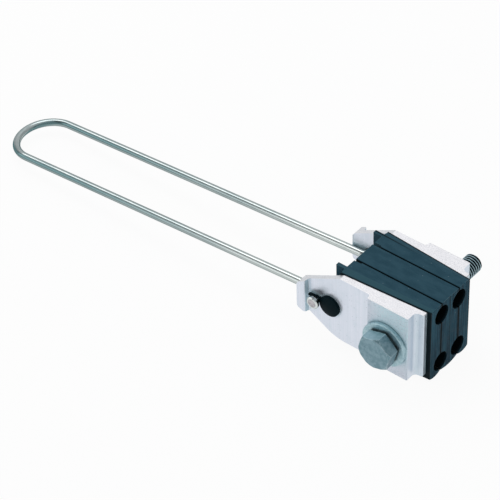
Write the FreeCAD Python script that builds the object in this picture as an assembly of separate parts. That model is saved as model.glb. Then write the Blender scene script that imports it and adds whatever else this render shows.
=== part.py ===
import FreeCAD, Part
import math
import os

# Wedge anchor clamp for four cores of aerial bundled cable, with a long wire bail.
# Millimetres. Origin: middle of the jaws' line-side end face, level with the clamp bolt.
# +X runs along the cores towards the line, +Y along the bolt to its thread end, +Z up.

V = FreeCAD.Vector
ORIGIN = V(0, 0, 0)
ALONG_Y = V(0, 1, 0)

# Clearances
running_clearance = 0.08
bolt_hole_clearance = 0.5
thread_clearance = 0.05
pocket_clearance = 0.15
face_gap = 0.05
side_gap = 0.3
parting_gap = 0.3
cut_margin = 5.0

# Jaws: two outer ones and a middle one, tapered as a pack
jaw_length = 50.0
jaw_top_z = 22.5
jaw_bottom_z = -21.5
pack_half_width = 15.2
side_taper = 0.067
parting_y = 6.8
core_bore_d = 10.3
core_bore_rise = 15.0
jaw_edge_round = 0.7
jaw_crown = 1.2
shoulder_width_line_end = 2.1
shoulder_width_bail_end = 3.85
shoulder_drop = 0.7
ear_length = 5.0
ear_inset = 3.25
ear_thickness = 1.9
corner_relief_length = 4.0
corner_relief_depth = 1.0

# Side plates: one extruded profile, its bail end counted from the jaws' bail end
plate_end_x = -2.1
plate_top_z = 21.7
plate_bottom_z = -17.6
plate_edge_round = 0.5
flange_wall = 2.5
flange_slope = 0.13
cove_round = 2.2
boss_right_x = -6.5
boss_left_x = -29.8
boss_height = 9.2
boss_step_slant = 0.6
boss_step_round = 1.2
thin_wall = 2.9
knee_past_jaws = 3.73
lip_right_past_jaws = 16.5
lip_end_past_jaws = 23.0
lip_height = 2.9
lip_slant = 0.9
lip_outer_round = 2.3
lip_inner_round = 1.6
lip_root_round = 0.5
lip_back_round = 2.4

# Side plates: outline seen along the bolt
top_corner_before_jaw_end = 2.0
top_corner_round = 2.0
upper_slope_past_jaws = 20.6
upper_slope_end_z = 9.5
upper_chamfer_end_z = 6.0
upper_corner_round = 2.0
lower_corner_z = -6.3
lower_corner_round = 3.4
lower_slope_start_past_jaws = 16.0
lower_slope_start_z = -9.0
lower_slope_round = 3.0
lower_slope_end_past_jaws = 0.9
lower_curve_round = 22.0

# Clamp bolt, washer and nut
bolt_x = -18.8
bolt_d = 10.0
thread_d = 9.9
plain_shank_length = 30.0
bolt_projection = 22.0
bolt_end_chamfer = 0.9
bolt_fillet = 0.4
hex_across_flats = 17.0
head_height = 6.4
head_ring_d = 15.6
head_ring_height = 1.0
head_turn_deg = 16.0
hex_chamfer_deg = 42.0
hex_chamfer_start = 1.01
washer_d = 24.2
washer_thickness = 2.4
washer_chamfer = 0.25
nut_height = 8.0
nut_seat_depth = 4.4
nut_turn_deg = 30.0

# Bail of round wire, headed at both ends
wire_d = 4.0
bail_pivot_past_jaws = 11.3
bail_pivot_z = 1.8
bail_reach = 197.5
bail_droop_deg = 4.7
neck_bend_round = 3.0
neck_sink_d = 6.2
neck_reach = 3.1
bail_head_d = 6.7
bail_head_thickness = 1.5
bail_head_round = 0.45

# Locking plug in the keyhole, with its hook over the bail's neck
keyhole_d = 8.0
keyhole_past_jaws = 3.45
plug_cap_d = 11.3
plug_cap_edge = 1.5
plug_cap_crown = 2.2
plug_shank_recess = 0.2
hook_thickness = 0.8
hook_stand_off = 1.0
hook_clearance = 0.2
hook_width = 0.95
hook_tip_reach = 4.2

# Values that follow from the ones above
DIAGONAL = math.sqrt(0.5)
jaw_mid_z = (jaw_top_z + jaw_bottom_z) / 2
pack_half_width_bail_end = pack_half_width + side_taper * jaw_length
jaw_face_y = parting_y - parting_gap / 2
outer_jaw_face_y = parting_y + parting_gap / 2
ear_outer_y = pack_half_width_bail_end - ear_inset
core_bore_r = core_bore_d / 2
bolt_hole_r = bolt_d / 2 + bolt_hole_clearance
wire_r = wire_d / 2
bail_hole_r = wire_r + running_clearance
knee_x = -jaw_length - knee_past_jaws
lip_right_x = -jaw_length - lip_right_past_jaws
lip_end_x = -jaw_length - lip_end_past_jaws
bail_pivot_x = -jaw_length - bail_pivot_past_jaws
keyhole_x = -jaw_length - keyhole_past_jaws
thin_inner_y = pack_half_width - side_taper * knee_x
thin_outer_y = thin_inner_y + thin_wall
lip_face_y = thin_outer_y + lip_height
boss_face_y = pack_half_width + boss_height
bail_half_width = thin_inner_y - side_gap - wire_r
bail_head_inner_y = thin_outer_y + neck_reach
washer_front_y = boss_face_y + washer_thickness
head_back_y = washer_front_y + head_ring_height
bolt_end_y = boss_face_y + bolt_projection
nut_seat_y = boss_face_y - nut_seat_depth


def rounded_wire(corners):
    """Closed wire through corner points, each given with the radius that rounds it."""
    spans = []
    count = len(corners)
    for i in range(count):
        point, radius = corners[i]
        to_last = (corners[i - 1][0] - point).normalize()
        to_next = (corners[(i + 1) % count][0] - point).normalize()
        if radius == 0:
            spans.append((point, None, point))
            continue
        half_angle = to_last.getAngle(to_next) / 2
        tangent = radius / math.tan(half_angle)
        centre = point + (to_last + to_next).normalize() * (radius / math.sin(half_angle))
        middle = centre + (point - centre).normalize() * radius
        spans.append((point + to_last * tangent, middle, point + to_next * tangent))
    edges = []
    for i in range(count):
        start, middle, end = spans[i]
        if middle is not None:
            edges.append(Part.Arc(start, middle, end).toShape())
        edges.append(Part.LineSegment(end, spans[(i + 1) % count][0]).toShape())
    return Part.Wire(edges)


def disc(radius, y_from, y_to, x, z):
    """Cylinder along the bolt's direction between two values of y."""
    return Part.makeCylinder(radius, y_to - y_from, V(x, y_from, z), ALONG_Y)


def turned(points, x, z):
    """Solid turned about the line through (x, z) along Y, from (radius, y) points."""
    corners = [V(x + radius, y, z) for radius, y in points]
    face = Part.Face(Part.makePolygon(corners + corners[:1]))
    return face.revolve(V(x, 0, z), ALONG_Y, 360)


def hexagon(across_flats, y_from, y_to, turn_deg):
    """Hexagonal bar around the bolt axis, a corner at turn_deg above +X."""
    radius = across_flats / math.sqrt(3)
    corners = []
    for i in range(6):
        angle = math.radians(turn_deg + 60 * i)
        corners.append(V(bolt_x + radius * math.cos(angle), y_from, radius * math.sin(angle)))
    face = Part.Face(Part.makePolygon(corners + corners[:1]))
    return face.extrude(V(0, y_to - y_from, 0))


def chamfer_cone(y_face, y_inside):
    """Cone around the bolt axis that trims a hexagon's corners at the face y_face."""
    start_r = hex_across_flats / 2 * hex_chamfer_start
    depth = abs(y_inside - y_face)
    wide_r = start_r + depth / math.tan(math.radians(hex_chamfer_deg))
    low = min(y_face, y_inside)
    radii = (start_r, wide_r) if y_face < y_inside else (wide_r, start_r)
    return Part.makeCone(radii[0], radii[1], depth, V(bolt_x, low, 0), ALONG_Y)


def core_bores():
    """Bores for the four cores, centred on the two parting planes."""
    bores = []
    for y in (-parting_y, parting_y):
        for z in (jaw_mid_z - core_bore_rise, jaw_mid_z + core_bore_rise):
            base = V(-jaw_length - cut_margin, y, z)
            bores.append(Part.makeCylinder(core_bore_r, jaw_length + 2 * cut_margin, base, V(1, 0, 0)))
    return bores


def bolt_hole():
    """Clearance hole for the bolt through the whole clamp."""
    reach = boss_face_y + cut_margin
    return disc(bolt_hole_r, -reach, reach, bolt_x, 0)


def crowned_bottom(x, y_from, y_to):
    """Bottom edge of a jaw section at x: an arc with its lowest point in the middle."""
    z = jaw_bottom_z + jaw_crown
    middle = V(x, (y_from + y_to) / 2, jaw_bottom_z)
    return Part.Arc(V(x, y_from, z), middle, V(x, y_to, z)).toShape()


def top_round(x, y, side):
    """Rounded top edge of a jaw at the parting plane y; the jaw lies on the given side."""
    r = jaw_edge_round
    rise = r * DIAGONAL
    middle = V(x, y + side * (r - rise), jaw_top_z - r + rise)
    return Part.Arc(V(x, y, jaw_top_z - r), middle, V(x, y + side * r, jaw_top_z)).toShape()


def outer_jaw_section(x, half_width, shoulder_width):
    """Cross-section of the outer jaw on the +Y side."""
    inner = outer_jaw_face_y
    side_top = V(x, half_width, jaw_top_z - shoulder_drop)
    shoulder = V(x, half_width - shoulder_width, jaw_top_z)
    bottom = crowned_bottom(x, inner, half_width)
    first, last = V(x, inner, jaw_bottom_z + jaw_crown), V(x, half_width, jaw_bottom_z + jaw_crown)
    edges = [
        bottom,
        Part.LineSegment(last, side_top).toShape(),
        Part.LineSegment(side_top, shoulder).toShape(),
        Part.LineSegment(shoulder, V(x, inner + jaw_edge_round, jaw_top_z)).toShape(),
        top_round(x, inner, 1),
        Part.LineSegment(V(x, inner, jaw_top_z - jaw_edge_round), first).toShape(),
    ]
    return Part.Wire(Part.__sortEdges__(edges))


def outer_jaw():
    """Outer jaw on the +Y side, with a full-height ear at the bail end."""
    line_end = outer_jaw_section(0, pack_half_width, shoulder_width_line_end)
    bail_end = outer_jaw_section(-jaw_length, pack_half_width_bail_end, shoulder_width_bail_end)
    jaw = Part.makeLoft([bail_end, line_end], True, True)
    ear_root = jaw_edge_round
    ear_bottom_z = jaw_bottom_z + jaw_crown
    ear_size = (ear_length + ear_root, ear_thickness, jaw_top_z - ear_bottom_z)
    ear_corner = V(-jaw_length - ear_length, ear_outer_y - ear_thickness, ear_bottom_z)
    jaw = jaw.fuse(Part.makeBox(*ear_size, ear_corner))
    relief_size = (corner_relief_length + cut_margin, corner_relief_depth + cut_margin, jaw_top_z - jaw_bottom_z)
    relief_corner = V(-jaw_length - cut_margin, outer_jaw_face_y - cut_margin, jaw_bottom_z)
    jaw = jaw.cut(Part.makeBox(*relief_size, relief_corner))
    return jaw.cut(core_bores() + [bolt_hole()]).removeSplitter()


def middle_jaw():
    """Middle jaw: parallel sides, a half bore at each of its four edges."""
    x = -jaw_length
    low_z = jaw_bottom_z + jaw_crown
    high_z = jaw_top_z - jaw_edge_round
    flat_y = jaw_face_y - jaw_edge_round
    edges = [
        crowned_bottom(x, -jaw_face_y, jaw_face_y),
        Part.LineSegment(V(x, jaw_face_y, low_z), V(x, jaw_face_y, high_z)).toShape(),
        top_round(x, jaw_face_y, -1),
        Part.LineSegment(V(x, flat_y, jaw_top_z), V(x, -flat_y, jaw_top_z)).toShape(),
        top_round(x, -jaw_face_y, 1),
        Part.LineSegment(V(x, -jaw_face_y, high_z), V(x, -jaw_face_y, low_z)).toShape(),
    ]
    block = Part.Face(Part.Wire(Part.__sortEdges__(edges))).extrude(V(jaw_length, 0, 0))
    return block.cut(core_bores() + [bolt_hole()]).removeSplitter()


def plate_profile():
    """Extruded profile of the side plate on the +Y side, drawn at the plate's bottom."""
    end_inner_y = pack_half_width - side_taper * plate_end_x
    flange_y = end_inner_y + flange_wall
    cove_y = flange_y + flange_slope * (plate_end_x - boss_right_x)
    corners = [
        (plate_end_x, end_inner_y, plate_edge_round / 2),
        (plate_end_x, flange_y, plate_edge_round),
        (boss_right_x, cove_y, cove_round),
        (boss_right_x, boss_face_y, plate_edge_round),
        (boss_left_x, boss_face_y, plate_edge_round),
        (boss_left_x - boss_step_slant, thin_outer_y, boss_step_round),
        (lip_right_x, thin_outer_y, lip_root_round),
        (lip_right_x - lip_slant, lip_face_y, lip_inner_round),
        (lip_end_x, lip_face_y, lip_outer_round),
        (lip_end_x, thin_inner_y, lip_back_round),
        (knee_x, thin_inner_y, 0),
    ]
    return rounded_wire([(V(x, y, plate_bottom_z), radius) for x, y, radius in corners])


def plate_outline():
    """Outline of a side plate seen along the bolt, drawn on the middle plane."""
    corners = [
        (plate_end_x, plate_bottom_z, plate_edge_round),
        (plate_end_x, plate_top_z, plate_edge_round),
        (-jaw_length + top_corner_before_jaw_end, plate_top_z, top_corner_round),
        (-jaw_length - upper_slope_past_jaws, upper_slope_end_z, upper_corner_round),
        (lip_end_x, upper_chamfer_end_z, upper_corner_round),
        (lip_end_x, lower_corner_z, lower_corner_round),
        (-jaw_length - lower_slope_start_past_jaws, lower_slope_start_z, lower_slope_round),
        (-jaw_length - lower_slope_end_past_jaws, plate_bottom_z, lower_curve_round),
    ]
    return rounded_wire([(V(x, 0, z), radius) for x, z, radius in corners])


def side_plate():
    """Side plate on the +Y side with its bolt hole and the sink for the bail's bend."""
    bar = Part.Face(plate_profile()).extrude(V(0, 0, plate_top_z - plate_bottom_z))
    slab = Part.Face(plate_outline()).extrude(V(0, lip_face_y + cut_margin, 0))
    plate = bar.common(slab)
    sink_r = neck_sink_d / 2
    sink_depth = sink_r - bail_hole_r
    sink_base = V(bail_pivot_x, thin_inner_y, bail_pivot_z)
    sink = Part.makeCone(sink_r, bail_hole_r, sink_depth, sink_base, ALONG_Y)
    return plate.cut([bolt_hole(), sink])


def mirrored(shape):
    """The same shape on the -Y side."""
    return shape.mirror(ORIGIN, ALONG_Y)


def side_plate_back():
    """Back plate: a round hole for the bail's riveted end and a hex pocket for the nut."""
    reach = lip_face_y + cut_margin
    bail_hole = disc(bail_hole_r, 0, reach, bail_pivot_x, bail_pivot_z)
    pocket = hexagon(hex_across_flats + 2 * pocket_clearance, nut_seat_y, reach, nut_turn_deg)
    return side_plate().cut([bail_hole, pocket]).removeSplitter()


def side_plate_front():
    """Front plate: a keyhole whose slot holds the bail's neck."""
    reach = lip_face_y + cut_margin
    big_hole = disc(keyhole_d / 2, 0, reach, keyhole_x, bail_pivot_z)
    slot_end = disc(bail_hole_r, 0, reach, bail_pivot_x, bail_pivot_z)
    slot_size = (keyhole_x - bail_pivot_x, reach, 2 * bail_hole_r)
    slot = Part.makeBox(*slot_size, V(bail_pivot_x, 0, bail_pivot_z - bail_hole_r))
    keyhole = big_hole.fuse([slot_end, slot])
    return mirrored(side_plate().cut(keyhole).removeSplitter())


def clamp_bolt():
    """Hex bolt along +Y, head on the front side, with its bearing ring under the head."""
    head_face_y = -head_back_y - head_height
    head = hexagon(hex_across_flats, head_face_y, -head_back_y, head_turn_deg)
    head = head.common(chamfer_cone(head_face_y, -head_back_y))
    under_head_y = -washer_front_y
    plain_end_y = under_head_y + plain_shank_length
    shank_r, thread_r = bolt_d / 2, thread_d / 2
    shank = turned(
        [
            (0, -head_back_y - head_ring_height),
            (head_ring_d / 2, -head_back_y - head_ring_height),
            (head_ring_d / 2, under_head_y),
            (shank_r + bolt_fillet, under_head_y),
            (shank_r, under_head_y + bolt_fillet),
            (shank_r, plain_end_y),
            (thread_r, plain_end_y + bolt_fillet),
            (thread_r, bolt_end_y - bolt_end_chamfer),
            (thread_r - bolt_end_chamfer, bolt_end_y),
            (0, bolt_end_y),
        ],
        bolt_x,
        0,
    )
    return head.fuse(shank).removeSplitter()


def bolt_washer():
    """Flat washer between the bolt head and the front plate's boss."""
    inner_r, outer_r, c = bolt_hole_r, washer_d / 2, washer_chamfer
    points = [
        (inner_r, -boss_face_y),
        (outer_r - c, -boss_face_y),
        (outer_r, -boss_face_y - c),
        (outer_r, -washer_front_y + c),
        (outer_r - c, -washer_front_y),
        (inner_r, -washer_front_y),
    ]
    return turned(points, bolt_x, 0)


def clamp_nut():
    """Hex nut seated in the back plate's pocket."""
    outer_y = nut_seat_y + nut_height
    nut = hexagon(hex_across_flats, nut_seat_y, outer_y, nut_turn_deg)
    nut = nut.common(chamfer_cone(outer_y, nut_seat_y)).common(chamfer_cone(nut_seat_y, outer_y))
    bore_r = thread_d / 2 + thread_clearance
    return nut.cut(disc(bore_r, nut_seat_y - cut_margin, outer_y + cut_margin, bolt_x, 0))


def bail_half_path():
    """Wire centre line on the +Y side, level and counted from the pivot, head to loop."""
    bend_y = bail_half_width + neck_bend_round
    rise = neck_bend_round * DIAGONAL
    bend_middle = V(rise - neck_bend_round, bend_y - rise, 0)
    neck_end = V(0, bail_head_inner_y, 0)
    leg_start = V(-neck_bend_round, bail_half_width, 0)
    leg_end = V(-bail_reach, bail_half_width, 0)
    return [
        Part.LineSegment(neck_end, V(0, bend_y, 0)).toShape(),
        Part.Arc(V(0, bend_y, 0), bend_middle, leg_start).toShape(),
        Part.LineSegment(leg_start, leg_end).toShape(),
    ]


def bail_head():
    """Upset head on the wire's end, on the +Y side of the level bail."""
    r, c = bail_head_d / 2, bail_head_round
    inner_y, outer_y = bail_head_inner_y, bail_head_inner_y + bail_head_thickness
    return turned([(0, inner_y), (r, inner_y), (r, outer_y - c), (r - c, outer_y), (0, outer_y)], 0, 0)


def bail():
    """Long bail of one round wire, drooping about its pivot as far as the block holds it."""
    near = bail_half_path()
    loop_start, loop_end = V(-bail_reach, bail_half_width, 0), V(-bail_reach, -bail_half_width, 0)
    loop = Part.Arc(loop_start, V(-bail_reach - bail_half_width, 0, 0), loop_end).toShape()
    far = [edge.mirror(ORIGIN, ALONG_Y) for edge in near]
    path = Part.Wire(Part.__sortEdges__(near + [loop] + far))
    section = Part.Wire(Part.Circle(V(0, bail_head_inner_y, 0), ALONG_Y, wire_r).toShape())
    wire = path.makePipeShell([section], True, False)
    shape = wire.fuse([bail_head(), mirrored(bail_head())]).removeSplitter()
    shape.rotate(ORIGIN, ALONG_Y, -bail_droop_deg)
    shape.translate(V(bail_pivot_x, 0, bail_pivot_z))
    return shape


def plug_hook():
    """Flat hook from the plug's cap over the bail's neck, open downwards."""
    inner = bail_hole_r + hook_clearance
    outer = inner + hook_width
    y = -thin_outer_y - face_gap - hook_stand_off
    half = hook_width / 2

    def at(dx, dz):
        return V(bail_pivot_x + dx, y, bail_pivot_z + dz)

    edges = [
        Part.Arc(at(outer, inner), at(0, outer), at(-hook_tip_reach + half, outer - half)).toShape(),
        Part.Arc(
            at(-hook_tip_reach + half, outer - half),
            at(-hook_tip_reach, inner - half / 2),
            at(-outer + half, inner / 2),
        ).toShape(),
        Part.Arc(at(-outer + half, inner / 2), at(-half, inner), at(outer - half, inner - half)).toShape(),
        Part.LineSegment(at(outer - half, inner - half), at(outer, inner)).toShape(),
    ]
    return Part.Face(Part.Wire(edges)).extrude(V(0, -hook_thickness, 0))


def locking_plug():
    """Plug in the keyhole's large hole: shank, low domed cap and hook in one moulding."""
    cap_y = -thin_outer_y - face_gap
    shank_r = keyhole_d / 2 - running_clearance
    shank = disc(shank_r, cap_y, -thin_inner_y - plug_shank_recess, keyhole_x, bail_pivot_z)
    cap_r = plug_cap_d / 2
    dome_rise = plug_cap_crown - plug_cap_edge
    sphere_r = (cap_r ** 2 + dome_rise ** 2) / (2 * dome_rise)
    sphere_centre = V(keyhole_x, cap_y - plug_cap_crown + sphere_r, bail_pivot_z)
    cap = disc(cap_r, cap_y - plug_cap_crown, cap_y, keyhole_x, bail_pivot_z)
    cap = cap.common(Part.makeSphere(sphere_r, sphere_centre))
    return cap.fuse([shank, plug_hook()])


def main():
    os.makedirs("parts", exist_ok=True)
    pieces = {
        "side_plate_front": side_plate_front(),
        "side_plate_back": side_plate_back(),
        "jaw_front": mirrored(outer_jaw()),
        "jaw_middle": middle_jaw(),
        "jaw_back": outer_jaw(),
        "bail": bail(),
        "clamp_bolt": clamp_bolt(),
        "bolt_washer": bolt_washer(),
        "clamp_nut": clamp_nut(),
        "locking_plug": locking_plug(),
    }
    for name, shape in pieces.items():
        box = shape.BoundBox
        print(name, "valid", shape.isValid(), "solids", len(shape.Solids), "volume", round(shape.Volume, 1))
        print("   x", round(box.XMin, 2), round(box.XMax, 2), "y", round(box.YMin, 2), round(box.YMax, 2),
              "z", round(box.ZMin, 2), round(box.ZMax, 2))
        shape.exportStep("parts/" + name + ".step")


main()
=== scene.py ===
import math
import bpy
import bmesh
from mathutils import Matrix, Vector


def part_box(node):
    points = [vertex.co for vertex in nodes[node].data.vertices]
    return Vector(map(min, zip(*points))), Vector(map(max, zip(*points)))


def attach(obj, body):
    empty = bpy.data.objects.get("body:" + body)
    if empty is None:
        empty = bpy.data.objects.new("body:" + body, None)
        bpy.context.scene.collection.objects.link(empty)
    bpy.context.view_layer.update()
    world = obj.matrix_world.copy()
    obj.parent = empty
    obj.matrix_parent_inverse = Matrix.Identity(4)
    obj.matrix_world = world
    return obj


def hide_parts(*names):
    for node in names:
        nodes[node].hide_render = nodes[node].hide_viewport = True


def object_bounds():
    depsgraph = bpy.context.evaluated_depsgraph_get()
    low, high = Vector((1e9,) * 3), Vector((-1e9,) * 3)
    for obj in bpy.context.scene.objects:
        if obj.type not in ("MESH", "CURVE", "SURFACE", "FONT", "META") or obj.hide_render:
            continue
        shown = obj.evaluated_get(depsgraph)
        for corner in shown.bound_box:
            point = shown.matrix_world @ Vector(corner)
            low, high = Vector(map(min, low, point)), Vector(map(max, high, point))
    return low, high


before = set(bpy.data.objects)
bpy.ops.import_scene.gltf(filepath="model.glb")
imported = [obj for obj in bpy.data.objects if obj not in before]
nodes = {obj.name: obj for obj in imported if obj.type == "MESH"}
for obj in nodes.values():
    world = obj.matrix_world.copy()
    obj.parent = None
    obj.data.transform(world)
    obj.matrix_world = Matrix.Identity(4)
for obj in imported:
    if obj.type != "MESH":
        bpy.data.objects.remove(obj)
cad_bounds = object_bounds()
scene = bpy.context.scene
MM = 0.001

# Camera: where it stands and how it looks at the clamp
camera_place = Vector((0.467059, -0.679281, 0.790862))
camera_azimuth_deg = 40.899
camera_elevation_deg = 41.914
camera_roll_deg = -2.156
camera_clip_start = 0.05
picture_px = 500
focal_px = 2436.6
sensor_mm = 36.0

# Clamp bolt, beyond what its CAD box gives
hex_across_flats = 17.0 * MM
head_height = 6.4 * MM
head_ring_d = 15.6 * MM
head_ring_height = 1.0 * MM
head_turn_deg = 16.0
head_chamfer_start = 8.58 * MM
head_chamfer_deg = 42.0
head_edge = 0.14 * MM
head_fillet = 0.4 * MM
head_columns = 144
shank_d = 10.0 * MM
thread_d = 9.9 * MM
thread_pitch = 1.5 * MM
thread_depth = 0.92 * MM
thread_flat_share = 0.15
thread_start_y = 18.0 * MM
thread_end_chamfer = 0.9 * MM
thread_columns = 64
thread_rows_a_turn = 14
bolt_sharp_deg = 25.0

# Washer, beyond what its CAD box gives
washer_hole_r = 5.5 * MM
washer_round = 0.45 * MM
washer_burr = 0.1 * MM
washer_columns = 160
washer_round_steps = 6
washer_sharp_deg = 40.0

# Edge rounds given to the CAD pieces by modifiers
plate_edge = 0.16 * MM
jaw_edge = 0.3 * MM
nut_edge = 0.18 * MM
cap_edge = 0.25 * MM
edge_segments = 2
edge_angle_deg = 30.0

# Places on the clamp, in millimetres as the materials measure
bolt_x = -18.8
thread_shading_y = 17.5
thread_root_r = 4.5
thread_crest_r = 4.9
pack_half_width = 15.2
side_taper = 0.067
shoulder_ridge_y = 13.1
shoulder_slope = 0.032
jaw_mid_z = 0.5
core_bore_y = 6.8
core_bore_rise = 15.0
core_bore_r = 5.15
flange_x = -6.5
boss_step_x = -31.0
boss_face_y = 24.4
lip_side_x = -61.0
bail_pivot_x = -61.3
bail_pivot_z = 1.8
bail_head_face_y = 26.3
bail_head_rim_r = (2.1, 2.5)
wire_bright_x = -80.0
wire_shaded_x = -240.0

# Studio room: strengths of its light at the floor's edge, on the walls and overhead, and
# the heights where they change, as the sine of the angle above the floor
horizon_strength = 0.9
wall_strength = 0.6
ceiling_strength = 0.85
wall_rise = (0.08, 0.35)
ceiling_rise = (0.5, 0.75)
room_colour = (0.97, 0.985, 1.0)

# The room's dark side: its direction, its share of the light, and its edge as two cosines
dark_side = (-0.41, -0.60, 0.69)
dark_side_share = 0.3
dark_side_edge = (0.87, 0.96)

# Where the lamps aim
clamp_middle = (-0.05, 0.0, 0.0)
below_glint = (-0.95, 0.25, 0.0)

# Floor
floor_half_size = 6.0
floor_colour = (0.8, 0.8, 0.8)
floor_glow_share = 0.93

# Noise runs from 0 to 1 and lies mostly between these values
noise_middle = (0.35, 0.65)
wide_middle = (0.3, 0.7)


# Node helpers

class NodeTree:
    """Short calls for the nodes that materials and the world both use."""

    def __init__(self, tree):
        self.tree = tree
        self.tree.nodes.clear()

    def node(self, kind, **settings):
        made = self.tree.nodes.new(kind)
        for key, value in settings.items():
            setattr(made, key, value)
        return made

    def link(self, source, target):
        self.tree.links.new(source, target)

    def put(self, target, value):
        """Links an output to a socket, or writes a plain number or vector on it."""
        if isinstance(value, bpy.types.NodeSocket):
            self.link(value, target)
        else:
            target.default_value = value

    def math(self, operation, a, b=0.0):
        made = self.node("ShaderNodeMath", operation=operation)
        self.put(made.inputs[0], a)
        self.put(made.inputs[1], b)
        return made.outputs[0]

    def product(self, first, *others):
        for other in others:
            first = self.math("MULTIPLY", first, other)
        return first

    def total(self, a, b):
        return self.math("ADD", a, b)

    def difference(self, a, b):
        return self.math("SUBTRACT", a, b)

    def largest(self, first, *others):
        for other in others:
            first = self.math("MAXIMUM", first, other)
        return first

    def absolute(self, value):
        return self.math("ABSOLUTE", value)

    def distance(self, a, b):
        """Distance from an axis, out of the two distances across it."""
        squares = self.total(self.math("POWER", a, 2.0), self.math("POWER", b, 2.0))
        return self.math("SQRT", squares)

    def dot(self, a, b):
        made = self.node("ShaderNodeVectorMath", operation="DOT_PRODUCT")
        self.put(made.inputs[0], a)
        self.put(made.inputs[1], b)
        return made.outputs["Value"]

    def axis(self, vector, name):
        made = self.node("ShaderNodeSeparateXYZ")
        self.link(vector, made.inputs[0])
        return made.outputs[name]

    def ramp(self, value, from_low, from_high, to_low, to_high):
        """A smooth step from one value to another while the input runs from low to high."""
        made = self.node("ShaderNodeMapRange", interpolation_type="SMOOTHSTEP")
        numbers = (from_low, from_high, to_low, to_high)
        for name, number in zip(("From Min", "From Max", "To Min", "To Max"), numbers):
            made.inputs[name].default_value = number
        self.link(value, made.inputs["Value"])
        return made.outputs["Result"]

    def rise(self, value, low, high, top=1.0):
        """0 below the low value, top above the high one, a smooth step between."""
        return self.ramp(value, low, high, 0.0, top)

    def fall(self, value, low, high, top=1.0):
        """top below the low value, 0 above the high one, a smooth step between."""
        return self.ramp(value, low, high, top, 0.0)


class Shading(NodeTree):
    """A material, with the patterns that this scene draws on its surfaces."""

    def __init__(self, name):
        self.material = bpy.data.materials.new(name)
        self.material.use_nodes = True
        super().__init__(self.material.node_tree)
        self.output = self.node("ShaderNodeOutputMaterial")
        self.coordinates = self.node("ShaderNodeTexCoord")
        scale = self.node("ShaderNodeVectorMath", operation="SCALE")
        scale.inputs["Scale"].default_value = 1 / MM
        self.link(self.coordinates.outputs["Object"], scale.inputs[0])
        self.place = scale.outputs["Vector"]
        self.normal = self.coordinates.outputs["Normal"]

    def place_axis(self, name):
        """The place along one axis, in millimetres."""
        return self.axis(self.place, name)

    def normal_axis(self, name):
        return self.axis(self.normal, name)

    def stretched(self, scale):
        """The place in millimetres, multiplied by one scale or by one for each axis."""
        made = self.node("ShaderNodeMapping")
        made.inputs["Scale"].default_value = scale if isinstance(scale, tuple) else (scale,) * 3
        self.link(self.place, made.inputs["Vector"])
        return made.outputs["Vector"]

    def noise(self, scale, detail=3.0, roughness=0.55):
        """Noise from 0 to 1 whose grain is 1/scale millimetres along each axis."""
        made = self.node("ShaderNodeTexNoise")
        made.inputs["Scale"].default_value = 1.0
        made.inputs["Detail"].default_value = detail
        made.inputs["Roughness"].default_value = roughness
        self.link(self.stretched(scale), made.inputs["Vector"])
        return made.outputs["Fac"]

    def specks(self, scale, size):
        """Small dots: 1 in the middle of scattered cells, 0 outside."""
        cells = self.node("ShaderNodeTexVoronoi")
        cells.inputs["Scale"].default_value = 1.0
        self.link(self.stretched(scale), cells.inputs["Vector"])
        return self.fall(cells.outputs["Distance"], 0.0, size)

    def edges(self, width_mm):
        """1 along edges, 0 on flat faces."""
        rounded = self.node("ShaderNodeBevel", samples=6)
        rounded.inputs["Radius"].default_value = width_mm * MM
        plain = self.node("ShaderNodeNewGeometry").outputs["Normal"]
        return self.fall(self.dot(rounded.outputs["Normal"], plain), 0.86, 0.995)

    def corners(self, reach_mm):
        """1 deep in a corner or beside a neighbour, 0 where the surface lies open."""
        made = self.node("ShaderNodeAmbientOcclusion", samples=8)
        made.inputs["Distance"].default_value = reach_mm * MM
        return self.fall(made.outputs["AO"], 0.35, 0.95)

    def mix(self, amount, a, b):
        made = self.node("ShaderNodeMix", data_type="RGBA")
        self.put(made.inputs["Factor"], amount)
        for socket, value in ((made.inputs["A"], a), (made.inputs["B"], b)):
            self.put(socket, value if isinstance(value, bpy.types.NodeSocket) else (*value, 1.0))
        return made.outputs["Result"]

    def bump(self, height, depth_mm, strength):
        made = self.node("ShaderNodeBump")
        made.inputs["Strength"].default_value = strength
        made.inputs["Distance"].default_value = depth_mm * MM
        self.link(height, made.inputs["Height"])
        return made.outputs["Normal"]

    def surface(self, colour, metallic, roughness, normal, specular=0.5, rim=(1.0, 1.0, 1.0)):
        """Finishes the material; the rim colours what it reflects at a grazing angle."""
        made = self.node("ShaderNodeBsdfPrincipled")
        self.link(colour, made.inputs["Base Color"])
        self.put(made.inputs["Metallic"], metallic)
        self.link(roughness, made.inputs["Roughness"])
        made.inputs["Specular IOR Level"].default_value = specular
        made.inputs["Specular Tint"].default_value = (*rim, 1.0)
        self.link(normal, made.inputs["Normal"])
        self.link(made.outputs[0], self.output.inputs["Surface"])
        return self.material


# Materials

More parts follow.
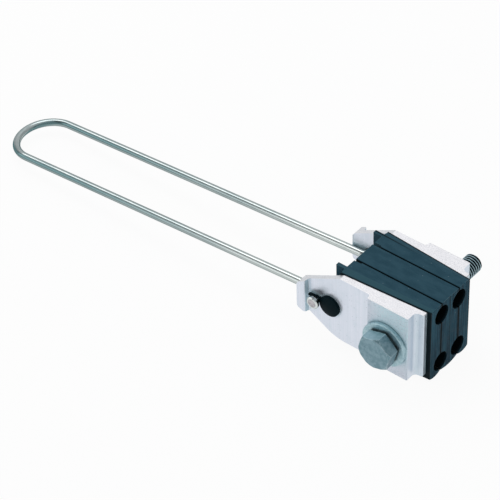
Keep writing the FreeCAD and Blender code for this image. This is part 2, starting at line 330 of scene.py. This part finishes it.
def plate_aluminium():
    """Extruded aluminium: fine lines along the extrusion, bright granular cut faces."""
    s = Shading("plate_aluminium")
    drawn_dark = (0.67, 0.71, 0.79)
    drawn_light = (0.73, 0.765, 0.85)
    drawn_band = (0.61, 0.68, 0.76)
    drawn_blotch = (0.56, 0.67, 0.73)
    drawn_grain = (0.58, 0.66, 0.72)
    boss_shade_tone = (0.57, 0.81, 0.87)
    boss_mark = (0.26, 0.40, 0.45)
    flange_tone = (0.36, 0.52, 0.57)
    painted_shade_tone = (0.37, 0.60, 0.67)
    drawn_pit = (0.1, 0.17, 0.2)
    plate_edge_highlight = (0.86, 0.87, 0.90)
    sawn_light = (0.88, 0.865, 0.885)
    sawn_dark = (0.68, 0.68, 0.71)
    sawn_slope = (0.45, 0.48, 0.51)
    sawn_pit = (0.25, 0.3, 0.33)

    x = s.place_axis("X")
    lines = s.noise((3.2, 3.2, 0.03))
    wide_lines = s.noise((0.7, 0.7, 0.012), detail=2.0)
    blotches = s.noise(0.22)
    grain = s.noise(1.7, detail=4.0, roughness=0.7)
    marks = s.rise(s.noise((1.0, 1.0, 1.3), detail=4.0, roughness=0.75), 0.57, 0.64, 0.5)
    dots = s.specks(0.55, 0.14)

    # Where it lies: on the boss's face, in a corner, on the lip's side towards the jaws; the boss near the
    # bolt, the corners and the lip's side get painted shade
    out = s.absolute(s.place_axis("Y"))
    right_of_step = s.rise(x, boss_step_x - 1.0, boss_step_x)
    on_boss = s.product(s.rise(out, boss_face_y - 0.8, boss_face_y - 0.2), right_of_step)
    around_bolt = s.product(s.rise(x, boss_step_x, bolt_x - 0.2), s.rise(s.place_axis("Z"), -16.0, 4.0))
    # Painted shade: a mottled teal tone on the boss's face, growing towards the bolt and upwards
    boss_shade = s.product(on_boss, s.ramp(grain, 0.4, 0.65, 0.35, 0.75), around_bolt)
    at_flange = s.rise(x, flange_x - 1.5, flange_x + 1.5, 0.3)
    beside_lip = s.fall(x, lip_side_x - 1.0, lip_side_x + 1.0)
    lip_side = s.product(s.rise(s.normal_axis("X"), 0.75, 0.93), beside_lip)
    in_shade = s.largest(s.corners(2.6), s.product(lip_side, 0.8))

    drawn = s.mix(s.rise(lines, *wide_middle), drawn_dark, drawn_light)
    drawn = s.mix(s.rise(wide_lines, *noise_middle, 0.3), drawn, drawn_band)
    drawn = s.mix(s.rise(blotches, 0.5, 0.75, 0.3), drawn, drawn_blotch)
    drawn = s.mix(s.rise(grain, 0.4, 0.75, 0.25), drawn, drawn_grain)
    drawn = s.mix(boss_shade, drawn, boss_shade_tone)
    drawn = s.mix(s.product(on_boss, marks), drawn, boss_mark)
    drawn = s.mix(at_flange, drawn, flange_tone)
    # Painted shade: a teal darkening in corners and on the lip's side towards the jaws
    drawn = s.mix(s.product(in_shade, 0.7), drawn, painted_shade_tone)
    drawn = s.mix(s.product(dots, 0.9), drawn, drawn_pit)
    # Painted highlight: lighter lines along the plate's edges
    drawn = s.mix(s.product(s.edges(0.3), 0.5), drawn, plate_edge_highlight)

    upright = s.absolute(s.normal_axis("Z"))
    sawn = s.mix(s.rise(grain, *noise_middle), sawn_light, sawn_dark)
    # Painted shade: the sloping cut faces are darker than the level ones
    sawn = s.mix(s.fall(upright, 0.93, 0.995, 0.45), sawn, sawn_slope)
    sawn = s.mix(s.product(dots, 0.6), sawn, sawn_pit)
    colour = s.mix(s.rise(upright, 0.2, 0.5), drawn, sawn)

    dull = s.largest(on_boss, in_shade)
    roughness = s.total(s.ramp(blotches, *wide_middle, 0.3, 0.4), s.product(dull, 0.28))
    metallic = s.difference(0.92, s.product(dull, 0.5))
    relief = s.total(s.product(lines, 0.8), s.product(grain, 0.4))
    return s.surface(colour, metallic, roughness, s.bump(relief, 0.05, 0.35))


def jaw_plastic():
    """Moulded blue-black plastic: fine texture, a little dust, painted shade in the joints, unlit bores."""
    s = Shading("jaw_plastic")
    moulded_dark = (0.014, 0.050, 0.076)
    moulded_light = (0.024, 0.068, 0.098)
    moulded_grain = (0.030, 0.085, 0.105)
    streak_dark = (0.001, 0.018, 0.034)
    streak_light = (0.019, 0.076, 0.110)
    seam_tone = (0.001, 0.010, 0.016)
    edge_highlight_tone = (0.11, 0.17, 0.19)
    dust_tone = (0.4, 0.5, 0.52)
    lit_shoulder_tone = (0.032, 0.088, 0.112)
    crease_tone = (0.001, 0.010, 0.014)
    joint_shade_tone = (0.001, 0.007, 0.010)
    unlit = (0.0, 0.0, 0.0)

    x = s.place_axis("X")
    y = s.place_axis("Y")
    width = s.absolute(y)
    upward = s.rise(s.normal_axis("Z"), 0.8, 0.95)
    end_face = s.rise(s.normal_axis("X"), 0.8, 0.95)
    grain = s.noise(1.6, detail=4.0, roughness=0.7)
    cloud = s.noise((0.12, 0.3, 0.3))
    upright_lines = s.noise((1.5, 1.5, 0.03))
    highlight_breakup = s.noise(0.25)
    dust = s.specks(0.3, 0.07)

    # Plain faces, and the end face with its upright streaks and the middle jaw's seam
    colour = s.mix(s.rise(cloud, *noise_middle), moulded_dark, moulded_light)
    colour = s.mix(s.rise(grain, *noise_middle, 0.3), colour, moulded_grain)
    streaked = s.mix(s.rise(upright_lines, *noise_middle), streak_dark, streak_light)
    seam = s.product(s.fall(width, 0.2, 0.55, 0.95), s.ramp(grain, 0.45, 0.55, 0.3, 1.0))
    streaked = s.mix(seam, streaked, seam_tone)
    colour = s.mix(end_face, colour, streaked)
    # Painted highlight along the edges, broken up in patches
    jaw_edge_highlight = s.product(s.edges(0.35), s.ramp(highlight_breakup, 0.42, 0.58, 0.1, 0.7))
    colour = s.mix(jaw_edge_highlight, colour, edge_highlight_tone)
    colour = s.mix(s.product(dust, 0.6), colour, dust_tone)

    # Painted light on the front jaw's shoulder, and painted shade along the back one's ridge
    from_ridge = s.difference(s.total(width, s.product(x, shoulder_slope)), shoulder_ridge_y)
    shoulder = s.product(s.rise(from_ridge, -0.9, -0.4, 0.7), upward, s.fall(y, -0.5, 0.5))
    colour = s.mix(shoulder, colour, lit_shoulder_tone)
    # Painted shade: a dark crease line along the back jaw's ridge, fading towards the line end
    crease = s.product(s.fall(s.absolute(from_ridge), 0.15, 0.6), s.fall(x, -50.0, -25.0))
    colour = s.mix(s.product(crease, upward, s.rise(y, -0.5, 0.5)), colour, crease_tone)

    # Painted shade at the parting planes and beside the side plates
    from_parting = s.absolute(s.difference(width, core_bore_y))
    half_pack = s.difference(pack_half_width, s.product(x, side_taper))
    from_side = s.difference(half_pack, width)
    joints = s.largest(s.fall(from_parting, 0.3, 0.65), s.fall(from_side, 0.3, 0.65))
    top_joints = s.product(upward, s.fall(from_side, 0.45, 1.15))
    end_joints = s.product(end_face, s.fall(from_parting, 0.55, 0.95))
    colour = s.mix(s.largest(joints, top_joints, end_joints), colour, joint_shade_tone)

    # Inside the core bores
    across = s.difference(width, core_bore_y)
    above = s.difference(s.absolute(s.difference(s.place_axis("Z"), jaw_mid_z)), core_bore_rise)
    inside = s.fall(s.distance(across, above), core_bore_r - 0.02, core_bore_r + 0.1)
    depth = s.ramp(x, -1.5, -0.2, 1.0, 0.8)
    colour = s.mix(s.product(inside, depth), colour, unlit)

    relief = s.total(s.product(grain, 0.5), s.product(cloud, 0.6))
    roughness = s.ramp(cloud, *wide_middle, 0.5, 0.6)
    return s.surface(colour, 0.0, roughness, s.bump(relief, 0.06, 0.4), specular=0.05)


def bail_steel():
    """Bright drawn stainless wire with fine lines along it and duller headed ends."""
    s = Shading("bail_steel")
    wire_dark = (0.36, 0.41, 0.41)
    wire_light = (0.44, 0.475, 0.47)
    flank_shade_tone = (0.12, 0.21, 0.22)
    wire_bright = (0.62, 0.66, 0.64)
    sheared_dark = (0.36, 0.35, 0.37)
    sheared_light = (0.52, 0.50, 0.52)
    head_rim = (0.70, 0.75, 0.74)
    corner_tone = (0.10, 0.14, 0.15)
    grazing_tint = (0.35, 0.42, 0.43)
    bright_side = (0.0, 0.755, 0.656)

    x = s.place_axis("X")
    lines = s.noise((0.02, 5.0, 5.0), detail=2.0)
    tint = s.noise((0.05, 0.3, 0.3), detail=2.0)
    blotches = s.noise(0.6)

    # The wire: painted shade on one flank towards the loop, and a painted brighter reflection on all of it
    # towards the jaws
    turned = s.dot(s.normal, bright_side)
    flank = s.product(s.ramp(turned, -0.8, -0.45, 0.3, 1.0), s.ramp(turned, 0.05, 0.35, 1.0, 0.1))
    colour = s.mix(s.rise(tint, *noise_middle), wire_dark, wire_light)
    flank_shade = s.product(s.fall(x, wire_shaded_x, wire_bright_x, 0.95), flank)
    colour = s.mix(flank_shade, colour, flank_shade_tone)
    # Painted reflection: the wire is brighter towards the jaws
    colour = s.mix(s.rise(x, wire_bright_x - 60.0, wire_bright_x, 0.5), colour, wire_bright)

    # The heads: sheared faces with a painted highlight on their rim
    out = s.absolute(s.place_axis("Y"))
    on_head = s.rise(out, bail_head_face_y - 0.4, bail_head_face_y - 0.2)
    sheared = s.mix(s.rise(blotches, *noise_middle), sheared_dark, sheared_light)
    colour = s.mix(on_head, colour, sheared)
    across = s.difference(x, bail_pivot_x)
    above = s.difference(s.place_axis("Z"), bail_pivot_z)
    rim = s.product(s.rise(s.distance(across, above), *bail_head_rim_r, 0.85), on_head)
    colour = s.mix(rim, colour, head_rim)
    # Painted shade in corners and beside neighbouring parts
    colour = s.mix(s.product(s.corners(1.5), 0.8), colour, corner_tone)

    roughness = s.ramp(lines, *wide_middle, 0.08, 0.15)
    return s.surface(colour, 1.0, roughness, s.bump(lines, 0.02, 0.3), rim=grazing_tint)


def galvanised_steel(name, dark, light, corner_shade):
    """Dull mottled zinc, with painted shade in its corners and the thread's roots, painted highlights along
    its edges and the thread's crests, and lighter upward faces.
    """
    s = Shading(name)
    pit_tone = (0.02, 0.06, 0.08)
    lit_top_tone = (0.48, 0.68, 0.70)
    edge_highlight_tone = (0.62, 0.74, 0.76)
    corner_shade_tone = (0.01, 0.025, 0.03)
    thread_crest = (0.44, 0.58, 0.62)
    thread_root = (0.004, 0.010, 0.012)

    mottle = s.noise(0.45, detail=4.0, roughness=0.6)
    grain = s.noise(1.8, detail=4.0, roughness=0.7)
    pits = s.specks(0.55, 0.17)
    colour = s.mix(s.rise(mottle, *noise_middle), dark, light)
    colour = s.mix(s.rise(grain, *noise_middle, 0.35), colour, light)
    colour = s.mix(s.product(pits, 0.75), colour, pit_tone)
    # Painted light: faces turned upwards are lighter
    colour = s.mix(s.rise(s.normal_axis("Z"), 0.7, 0.93, 0.28), colour, lit_top_tone)
    # Painted highlight along the edges
    colour = s.mix(s.edges(0.35), colour, edge_highlight_tone)
    # Painted shade in corners and beside neighbouring parts
    colour = s.mix(s.product(s.corners(2.0), corner_shade), colour, corner_shade_tone)

    # The thread, apart from the bolt's end face: a painted highlight on the crests and painted shade in the
    # roots
    from_axis = s.distance(s.difference(s.place_axis("X"), bolt_x), s.place_axis("Z"))
    along_thread = s.rise(s.place_axis("Y"), thread_shading_y, thread_shading_y + 1.0)
    on_thread = s.product(along_thread, s.fall(s.normal_axis("Y"), 0.93, 0.99))
    crest = s.product(s.rise(from_axis, thread_crest_r - 0.15, thread_crest_r, 0.7), on_thread)
    root = s.product(s.fall(from_axis, thread_root_r, thread_crest_r + 0.02), on_thread)
    colour = s.mix(crest, colour, thread_crest)
    colour = s.mix(root, colour, thread_root)

    relief = s.total(s.product(mottle, 0.7), s.product(grain, 0.3))
    roughness = s.ramp(grain, *wide_middle, 0.32, 0.45)
    return s.surface(colour, 0.9, roughness, s.bump(relief, 0.12, 0.4))


def plug_plastic():
    """Black moulding with a soft sheen."""
    s = Shading("plug_plastic")
    black = (0.0015, 0.007, 0.010)
    blue_black = (0.003, 0.012, 0.016)
    grain = s.noise(5.0, detail=2.0)
    cloud = s.noise(0.3, detail=2.0)
    colour = s.mix(cloud, black, blue_black)
    roughness = s.ramp(cloud, *wide_middle, 0.5, 0.6)
    return s.surface(colour, 0.0, roughness, s.bump(grain, 0.05, 0.3), specular=0.03)


def floor_white():
    """Pale floor: plain white to the eye, and it keeps the object's shadow."""
    s = Shading("floor_white")
    plain = s.node("ShaderNodeBsdfDiffuse")
    plain.inputs["Color"].default_value = (*floor_colour, 1.0)
    glow = s.node("ShaderNodeEmission")
    glow.inputs["Color"].default_value = (1.0, 1.0, 1.0, 1.0)
    glow.inputs["Strength"].default_value = 1.0
    rays = s.node("ShaderNodeLightPath").outputs
    seen = s.largest(rays["Is Camera Ray"], rays["Is Glossy Ray"], rays["Is Transmission Ray"])
    both = s.node("ShaderNodeMixShader")
    s.link(s.product(seen, floor_glow_share), both.inputs["Fac"])
    s.link(plain.outputs[0], both.inputs[1])
    s.link(glow.outputs[0], both.inputs[2])
    s.link(both.outputs[0], s.output.inputs["Surface"])
    s.material.cycles.emission_sampling = "NONE"
    return s.material


# Meshes

def circle_angles(count, start=0.0):
    """Angles from +Z to +X, evenly round the bolt's axis."""
    return [2 * math.pi * i / count + start for i in range(count)]


def bolt_point(axis_x, radius, angle, y):
    """Point at a radius and an angle from +Z to +X round the bolt's axis."""
    return (axis_x + radius * math.sin(angle), y, radius * math.cos(angle))


def rings_object(name, rings, looped=False):
    """Mesh through rings of equal length, capped at both ends or looped from last to first."""
    mesh = bpy.data.meshes.new(name)
    made = bmesh.new()
    rows = [[made.verts.new(point) for point in ring] for ring in rings]
    count = len(rows[0])
    following = rows[1:] + rows[:1] if looped else rows[1:]
    for low, high in zip(rows, following):
        for i in range(count):
            j = (i + 1) % count
            made.faces.new((low[i], low[j], high[j], high[i]))
    if not looped:
        made.faces.new(rows[0])
        made.faces.new(rows[-1][::-1])
    bmesh.ops.recalc_face_normals(made, faces=made.faces)
    made.to_mesh(mesh)
    made.free()
    piece = bpy.data.objects.new(name, mesh)
    scene.collection.objects.link(piece)
    return piece


def smooth(piece, angle_deg):
    """Smooth shading with the edges sharper than the angle kept."""
    mesh = piece.data
    mesh.polygons.foreach_set("use_smooth", [True] * len(mesh.polygons))
    mesh.set_sharp_from_angle(angle=math.radians(angle_deg))


def rounded_edges(piece, width):
    """Bevel that rounds a CAD piece's sharp edges, inside its own shape."""
    bevel = piece.modifiers.new("edge_round", "BEVEL")
    bevel.width = width
    bevel.segments = edge_segments
    bevel.limit_method = "ANGLE"
    bevel.angle_limit = math.radians(edge_angle_deg)
    bevel.harden_normals = True
    bevel.use_clamp_overlap = True


def hexagon_radius(angle):
    """Distance from the bolt's axis to its hexagon's side at an angle from +Z to +X."""
    turn = math.radians(90.0 - head_turn_deg)
    from_corner = (angle - turn) % math.radians(60.0)
    return hex_across_flats / 2 / math.cos(from_corner - math.radians(30.0))


def bolt_head(axis_x, head_back_y):
    """Hexagon head with chamfered corners, the bearing ring under it, and the plain shank."""
    slope = math.tan(math.radians(head_chamfer_deg))
    face_y = head_back_y - head_height
    ring_back_y = head_back_y + head_ring_height
    angles = circle_angles(head_columns, math.radians(90.0 - head_turn_deg))

    def ring(radius_of, y_of):
        """Ring whose radius and place both follow from the hexagon's radius at each angle."""
        sides = [hexagon_radius(angle) for angle in angles]
        return [bolt_point(axis_x, radius_of(r), angle, y_of(r)) for r, angle in zip(sides, angles)]

    def face_radius(side):
        return min(head_chamfer_start, side - head_edge)

    def chamfer_y(side):
        return face_y + max((side - head_chamfer_start) * slope, head_edge)

    def constant(value):
        return lambda side: value

    rings = [
        ring(lambda side: face_radius(side) * 0.5, constant(face_y)),
        ring(face_radius, constant(face_y)),
        ring(lambda side: side, chamfer_y),
        ring(lambda side: side, constant(head_back_y - head_edge)),
        ring(lambda side: side - head_edge, constant(head_back_y)),
        ring(constant(head_ring_d / 2), constant(head_back_y)),
        ring(constant(head_ring_d / 2), constant(ring_back_y)),
        ring(constant(shank_d / 2 + head_fillet), constant(ring_back_y)),
        ring(constant(shank_d / 2), constant(ring_back_y + head_fillet)),
        ring(constant(shank_d / 2), constant(thread_start_y)),
    ]
    return rings_object("bolt_head_piece", rings)


def thread_radius(angle, y, end_y):
    """Radius of the right-hand thread at an angle from +Z to +X and a place along the bolt."""
    phase = (y / thread_pitch - angle / (2 * math.pi)) % 1.0
    rise = 1.0 - abs(2 * phase - 1.0)
    ridge = min(max((rise - thread_flat_share) / (1.0 - 2 * thread_flat_share), 0.0), 1.0)
    radius = thread_d / 2 - thread_depth * (1.0 - ridge)
    limit = thread_d / 2 - thread_end_chamfer + (end_y - y)
    return min(radius, limit)


def bolt_thread(axis_x, end_y):
    """Threaded end of the bolt as one helical skin."""
    length = end_y - thread_start_y
    rows = int(length / (thread_pitch / thread_rows_a_turn))
    angles = circle_angles(thread_columns)
    rings = []
    for row in range(rows + 1):
        y = thread_start_y + length * row / rows
        rings.append([bolt_point(axis_x, thread_radius(a, y, end_y), a, y) for a in angles])
    return rings_object("bolt_thread_piece", rings)


def clamp_bolt():
    """Bolt with a true thread, in the place of the plain one."""
    low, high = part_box("clamp_bolt")
    axis_x = (low.x + high.x) / 2
    head_back_y = low.y + head_height
    head = bolt_head(axis_x, head_back_y)
    thread = bolt_thread(axis_x, high.y)
    with bpy.context.temp_override(active_object=head, selected_editable_objects=[head, thread]):
        bpy.ops.object.join()
    head.name = "threaded_bolt"
    smooth(head, bolt_sharp_deg)
    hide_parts("clamp_bolt")
    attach(head, "bolt")
    return head


def bolt_washer():
    """Punched flat washer, rounded at its front edge, in the place of the faceted one."""
    low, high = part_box("bolt_washer")
    axis_x = (low.x + high.x) / 2
    outer_r = (high.x - low.x) / 2
    profile = [
        (washer_hole_r, high.y),
        (washer_hole_r, low.y + washer_burr),
        (washer_hole_r + washer_burr, low.y),
    ]
    for i in range(washer_round_steps + 1):
        angle = math.radians(90.0) * i / washer_round_steps
        across = outer_r - washer_round * (1.0 - math.sin(angle))
        along = low.y + washer_round * (1.0 - math.cos(angle))
        profile.append((across, along))
    profile.append((outer_r, high.y - washer_burr))
    profile.append((outer_r - washer_burr, high.y))
    angles = circle_angles(washer_columns)
    rings = [[bolt_point(axis_x, radius, angle, y) for angle in angles] for radius, y in profile]
    piece = rings_object("flat_washer", rings, looped=True)
    smooth(piece, washer_sharp_deg)
    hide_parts("bolt_washer")
    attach(piece, "front_half")
    return piece


# Stage, light and camera

def floor(material):
    """Square floor level with the clamp's lowest point."""
    size = floor_half_size
    height = cad_bounds[0][2]
    mesh = bpy.data.meshes.new("floor")
    sides = ((-size, -size), (size, -size), (size, size), (-size, size))
    mesh.from_pydata([(x, y, height) for x, y in sides], [], [(0, 1, 2, 3)])
    piece = bpy.data.objects.new("floor", mesh)
    scene.collection.objects.link(piece)
    mesh.materials.append(material)


def area_lamp(name, place, aim, size, radiance):
    """Oblong lamp of two sizes whose surface shines at the given radiance."""
    lamp = bpy.data.lights.new(name, "AREA")
    lamp.shape = "RECTANGLE"
    lamp.size, lamp.size_y = size
    lamp.energy = radiance * math.pi * size[0] * size[1]
    piece = bpy.data.objects.new(name, lamp)
    scene.collection.objects.link(piece)
    piece.location = place
    piece.rotation_euler = (Vector(aim) - Vector(place)).to_track_quat("-Z", "Y").to_euler()
    piece.visible_camera = False


def world_light():
    """Soft room: pale at the floor's edge, dimmer above it, bright overhead, with one dark side."""
    world = bpy.data.worlds.new("studio")
    scene.world = world
    world.use_nodes = True
    room = NodeTree(world.node_tree)
    direction = room.node("ShaderNodeTexCoord").outputs["Generated"]
    height = room.axis(direction, "Z")
    lower = room.ramp(height, *wall_rise, horizon_strength, wall_strength)
    upper = room.ramp(height, *ceiling_rise, 1.0, ceiling_strength / wall_strength)
    towards = room.dot(direction, Vector(dark_side).normalized())
    dim = room.ramp(towards, *dark_side_edge, 1.0, dark_side_share)
    light = room.node("ShaderNodeBackground")
    light.inputs["Color"].default_value = (*room_colour, 1.0)
    room.link(room.product(lower, upper, dim), light.inputs["Strength"])
    out = room.node("ShaderNodeOutputWorld")
    room.link(light.outputs[0], out.inputs["Surface"])


def camera():
    """Camera out of its place, its three angles and its focal length in pixels."""
    azimuth = math.radians(camera_azimuth_deg)
    elevation = math.radians(camera_elevation_deg)
    roll = math.radians(camera_roll_deg)
    level_right = Vector((math.cos(azimuth), math.sin(azimuth), 0.0))
    level_forward = Vector((-math.sin(azimuth), math.cos(azimuth), 0.0))
    forward = level_forward * math.cos(elevation) - Vector((0.0, 0.0, math.sin(elevation)))
    level_up = level_right.cross(forward)
    right = level_right * math.cos(roll) + level_up * math.sin(roll)
    up = level_up * math.cos(roll) - level_right * math.sin(roll)
    data = bpy.data.cameras.new("camera")
    data.sensor_fit = "HORIZONTAL"
    data.sensor_width = sensor_mm
    data.lens = focal_px / picture_px * sensor_mm
    data.clip_start = camera_clip_start
    piece = bpy.data.objects.new("camera", data)
    scene.collection.objects.link(piece)
    axes = Matrix((right, up, -forward)).transposed()
    piece.matrix_world = Matrix.Translation(camera_place) @ axes.to_4x4()
    scene.camera = piece


# Making the scene

def dress(node, material, edge=None):
    """Gives a CAD piece its material, and an edge round where a width is given."""
    piece = nodes[node]
    piece.data.materials.clear()
    piece.data.materials.append(material)
    if edge is not None:
        rounded_edges(piece, edge)


camera()
world_light()
area_lamp("overhead", place=(-0.75, 0.90, 0.70), aim=clamp_middle, size=(1.5, 1.5), radiance=0.22)
area_lamp("front_fill", place=(-1.15, -0.97, 0.55), aim=clamp_middle, size=(1.0, 1.0), radiance=0.9)
area_lamp("wire_glint", place=(-0.95, 0.25, 1.35), aim=below_glint, size=(1.5, 0.65), radiance=1.9)
floor(floor_white())

aluminium = plate_aluminium()
plastic = jaw_plastic()
bolt_zinc = galvanised_steel("bolt_zinc", dark=(0.125, 0.225, 0.265), light=(0.21, 0.32, 0.37), corner_shade=0.7)
washer_zinc = galvanised_steel("washer_zinc", dark=(0.25, 0.40, 0.45), light=(0.40, 0.55, 0.60), corner_shade=0.55)
for plate in ("side_plate_front", "side_plate_back"):
    dress(plate, aluminium, plate_edge)
for jaw in ("jaw_front", "jaw_middle", "jaw_back"):
    dress(jaw, plastic, jaw_edge)
dress("bail", bail_steel())
dress("clamp_nut", washer_zinc, nut_edge)
dress("locking_plug", plug_plastic(), cap_edge)
clamp_bolt().data.materials.append(bolt_zinc)
bolt_washer().data.materials.append(washer_zinc)

scene.view_settings.view_transform = "Standard"
